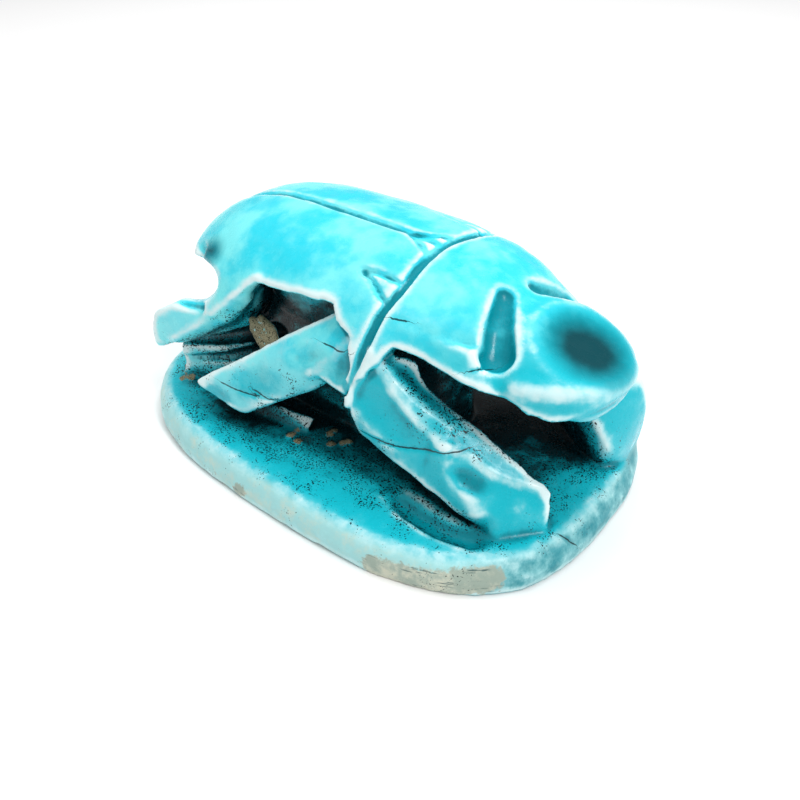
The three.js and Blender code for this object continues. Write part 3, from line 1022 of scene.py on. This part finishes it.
def glaze():
    """Turquoise glaze: white where thin on the edges, teal in pools and darker teal painted shade where
    sheltered, black painted shade in the depths.
    """
    f = Finish("turquoise_glaze")
    fine, mid, wide = f.layer("hollow_fine"), f.layer("hollow_mid"), f.layer("hollow_wide")
    shut, pool, side = f.layer("shelter"), f.layer("pool"), f.layer("base_side")
    place = f.node("ShaderNodeSeparateXYZ")
    f.feed(f.place, place.inputs[0])
    along, height = place.outputs["X"], place.outputs["Z"]
    aside = f.math("MAXIMUM", f.total(f.math("ABSOLUTE", place.outputs["Y"]), -6.0), 0.0)
    aside = f.math("MULTIPLY", aside, f.rise(height, 8.5, 11.5))
    clouds, mottle, grain = f.noise(4.5, 2), f.noise(1.3, 4, 3.1), f.noise(0.35, 3, 7.7)
    smudge = f.noise(2.2, 5, 21.0, rough=0.7)

    # The glaze itself: paler on the upper and rear forms, thick in hollows and pools, and darker teal as
    # painted shade where other stone shuts the point in.
    uneven = f.total((mottle, 0.3), (grain, 0.12), (smudge, 0.24), -0.33)
    depth = f.total((mid, 1.3), (fine, 0.5), uneven)
    glaze = f.mix(f.rise(f.total((clouds, 0.7), (mottle, 0.3)), 0.38, 0.62), BRIGHT_GLAZE, PALE_GLAZE)
    upper = f.rise(f.total(height, (smudge, 4), (along, -0.4)), 12, 17)
    glaze = f.mix(upper, LEG_GLAZE, glaze)
    in_pool = f.rise(f.total(pool, (mottle, 0.7)), 0.7, -0.3)
    bottom = f.rise(f.total(pool, (mottle, 0.6)), -0.2, -1.5)
    # The shelter term is painted shade: sheltered places turn the darker teal of pooled glaze.
    thickness_and_shade = f.total(depth, (in_pool, 0.25), (shut, 0.42), (bottom, 0.2), (smudge, 0.1), -0.08)
    glaze = f.mix(f.rise(thickness_and_shade, 0.08, 0.42), glaze, POOLED_GLAZE_AND_SHADE)
    stain = f.mix(f.rise(smudge, 0.45, 0.7), RIM_GLAZE, CREAM_STAIN)
    glaze = f.mix(f.math("MULTIPLY", side, 0.92), glaze, stain)
    front_side = f.math("MULTIPLY", side, f.rise(along, 18.5, 21.5))
    glaze = f.mix(f.math("MULTIPLY", front_side, f.rise(smudge, 0.3, 0.62, 0.45, 0.95)), glaze, POOLED_GLAZE_AND_SHADE)

    # Edges, on which it is thin, and the dark pools, in which it is thickest.
    dark_pool = f.total(f.layer("dark_pool"), (mottle, 0.8), -0.4)
    bare_edge = f.math("MULTIPLY", f.rise(shut, 0.7, 0.4), f.rise(f.layer("facing"), -0.45, 0.1, 0.1, 1))
    bare_edge = f.math("MULTIPLY", bare_edge, f.rise(in_pool, 0, 1, 1, 0.3))
    bare_edge = f.math("MULTIPLY", bare_edge, f.rise(dark_pool, 0.1, 1.2, 0.1, 1))
    legs = f.math("MULTIPLY", f.rise(height, 14.2, 12.6), f.rise(height, 3.8, 5.0))
    open_rear = f.math("MULTIPLY", f.rise(along, 5.0, 3.2), f.rise(shut, 0.55, 0.3))
    legs = f.math("MULTIPLY", legs, open_rear)
    legs = f.math("MULTIPLY", legs, f.rise(f.total(pool, (mottle, 0.8), (smudge, 0.8)), 0.6, 1.5, 0, 0.6))
    halo = f.math("MAXIMUM", legs, f.rise(depth, 0.02, -0.45, 0, 0.6))
    glaze = f.mix(f.math("MULTIPLY", halo, bare_edge), glaze, PALE_EDGE)
    ridge = f.rise(f.total(f.layer("ridge"), (mottle, 0.9)), 0.75, 0.15, 0, 0.75)
    thin = f.math("MAXIMUM", f.rise(depth, -0.1, -0.48, 0, 0.92), ridge)
    glaze = f.mix(f.math("MULTIPLY", thin, bare_edge), glaze, THIN_GLAZE)
    glaze = f.mix(f.rise(dark_pool, 0.9, -1.0), glaze, POOLED_GLAZE_AND_SHADE)
    glaze = f.mix(f.rise(dark_pool, -0.5, -2.1, 0, 0.85), glaze, DARKEST_GLAZE_AND_SHADE)
    # Painted shade: near black where the stone shuts the point in most and deep in the bottoms of pools.
    depth_shade = f.rise(f.total((shut, 1.1), (wide, 0.3), (smudge, 0.3), (aside, -0.07)), 0.66, 1.03)
    glaze = f.mix(f.math("MAXIMUM", depth_shade, f.rise(bottom, 0.3, 1.4)), glaze, DARKEST_GLAZE_AND_SHADE)

    # Bare stone, pits, soil and cracks.
    streaks = f.noise(0.5, 4, 2.0, (6, 6, 0.8), 0.65)
    bare = f.rise(f.total(f.layer("bare"), (smudge, 2.4), (grain, 0.8)), 1.75, 1.35)
    rock = f.mix(f.rise(smudge, 0.4, 0.62), BARE_STONE_GREY, BARE_STONE_CREAM)
    rock = f.mix(f.rise(streaks, 0.56, 0.66), rock, BARE_STONE_DARK)
    glaze = f.mix(f.math("MULTIPLY", bare, 0.85), glaze, rock)
    low = f.rise(height, 18.5, 9, 0, 0.16)
    where = f.rise(f.total((shut, 0.5), (f.noise(2.4, 4, 5.2, rough=0.7), 1.0), low), 0.6, 0.95)
    speck = f.rise(f.total(f.noise(0.17, 2, 11.3), (where, 0.22)), 0.75, 0.78)
    glaze = f.mix(f.math("MULTIPLY", speck, f.rise(where, 0.0, 0.3)), glaze, GRIME)
    rusty = f.rise(f.noise(0.7, 2, 31.0), 0.75, 0.77)
    glaze = f.mix(f.math("MULTIPLY", rusty, low), glaze, RUST)
    soil = f.rise(f.total(f.layer("dirt"), (grain, 0.5)), 0.42, 0.30)
    earth = f.mix(f.rise(f.noise(0.12, 2, 1.7), 0.5, 0.62), SOIL, DARK_SOIL)
    glaze = f.mix(f.math("MULTIPLY", soil, f.rise(shut, 1.0, 0.8)), glaze, earth)
    gap = f.math("ABSOLUTE", f.total(f.layer("crack"), (grain, 0.16), -0.08))
    glaze = f.mix(f.rise(gap, 0.11, 0.04, 0, 0.9), glaze, GRIME)

    f.feed(glaze, f.shader.inputs["Base Color"])
    f.shader.inputs["Specular IOR Level"].default_value = 0.3
    rough = f.rise(f.total(mottle, (grain, 0.4)), 0.45, 0.9, 0.16, 0.34)
    dull = f.math("MAXIMUM", f.math("MAXIMUM", bare, soil), f.math("MULTIPLY", side, 0.5))
    f.feed(f.total(rough, (dull, 0.4)), f.shader.inputs["Roughness"])
    bump = f.node("ShaderNodeBump")
    bump.inputs["Strength"].default_value = 0.3
    bump.inputs["Distance"].default_value = 0.1 * MM
    f.feed(f.total(mottle, (grain, 0.6), (speck, -0.4), (soil, 0.4)), bump.inputs["Height"])
    f.feed(bump.outputs[0], f.shader.inputs["Normal"])
    return f.material


# ---------------------------------------------------------------- setting

CAMERA_AZIMUTH = 39.1
CAMERA_ELEVATION = 36.9
CAMERA_DISTANCE = 79.0
CAMERA_SLIDE = (1.3, -4.3)
CAMERA_TARGET = (0.0, 0.0, 8.0)


def camera():
    """A camera that looks down on the near side and the head."""
    azimuth, elevation = math.radians(CAMERA_AZIMUTH), math.radians(CAMERA_ELEVATION)
    back = Vector((
        math.sin(azimuth) * math.cos(elevation),
        -math.cos(azimuth) * math.cos(elevation),
        math.sin(elevation),
    ))
    right = Vector((math.cos(azimuth), math.sin(azimuth), 0))
    up = back.cross(right)
    lens = bpy.data.cameras.new("camera")
    lens.lens = 36
    lens.sensor_width = 36
    lens.clip_start = 0.002
    lens.clip_end = 20
    eye = bpy.data.objects.new("camera", lens)
    place = Vector(CAMERA_TARGET) + back * CAMERA_DISTANCE
    place += right * CAMERA_SLIDE[0] + up * CAMERA_SLIDE[1]
    turn = Matrix((right, up, back)).transposed().to_4x4()
    eye.matrix_world = Matrix.Translation(place * MM) @ turn
    bpy.context.scene.collection.objects.link(eye)
    bpy.context.scene.camera = eye


def floor():
    """A white card under the amulet, larger than the view."""
    half = 2.0
    corners = [(-half, -half, 0), (half, -half, 0), (half, half, 0), (-half, half, 0)]
    card = bpy.data.meshes.new("floor")
    card.from_pydata(corners, [], [(0, 1, 2, 3)])
    ground = bpy.data.objects.new("floor", card)
    bpy.context.scene.collection.objects.link(ground)
    white = bpy.data.materials.new("white_card")
    white.use_nodes = True
    shader = white.node_tree.nodes["Principled BSDF"]
    shader.inputs["Base Color"].default_value = (0.93, 0.93, 0.93, 1)
    shader.inputs["Roughness"].default_value = 0.9
    shader.inputs["Specular IOR Level"].default_value = 0.1
    ground.data.materials.append(white)


def panel(name, place, target, size, power, shines=True):
    """A soft light panel that faces a point; places in millimetres."""
    lamp = bpy.data.lights.new(name, "AREA")
    lamp.shape = "RECTANGLE"
    lamp.size, lamp.size_y = size[0] * MM, size[1] * MM
    lamp.energy = power
    light = bpy.data.objects.new(name, lamp)
    way = Vector(target) - Vector(place)
    turn = way.to_track_quat("-Z", "Y").to_matrix().to_4x4()
    light.matrix_world = Matrix.Translation(Vector(place) * MM) @ turn
    light.visible_glossy = shines
    bpy.context.scene.collection.objects.link(light)


def lights():
    """A white tent that glossy glaze sees as dim, and soft panels."""
    world = bpy.data.worlds.new("tent")
    world.use_nodes = True
    tree = world.node_tree
    tent = tree.nodes["Background"]
    tent.inputs["Color"].default_value = (1, 1, 1, 1)
    path = tree.nodes.new("ShaderNodeLightPath")
    dim = tree.nodes.new("ShaderNodeMapRange")
    tree.links.new(path.outputs["Is Glossy Ray"], dim.inputs["Value"])
    dim.inputs["To Min"].default_value = 0.5
    dim.inputs["To Max"].default_value = 0.3
    tree.links.new(dim.outputs[0], tent.inputs["Strength"])
    bpy.context.scene.world = world
    panel("overhead", (-60, 90, 330), (0, 0, 5), (300, 300), 0.9, False)
    panel("strip", (150, -10, 200), (0, 0, 10), (40, 120), 0.25)
    bpy.context.scene.view_settings.view_transform = "Standard"


scarab = carved_scarab()
scarab.data.materials.append(glaze())
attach(scarab, "root")
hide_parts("scarab")
camera()
floor()
lights()
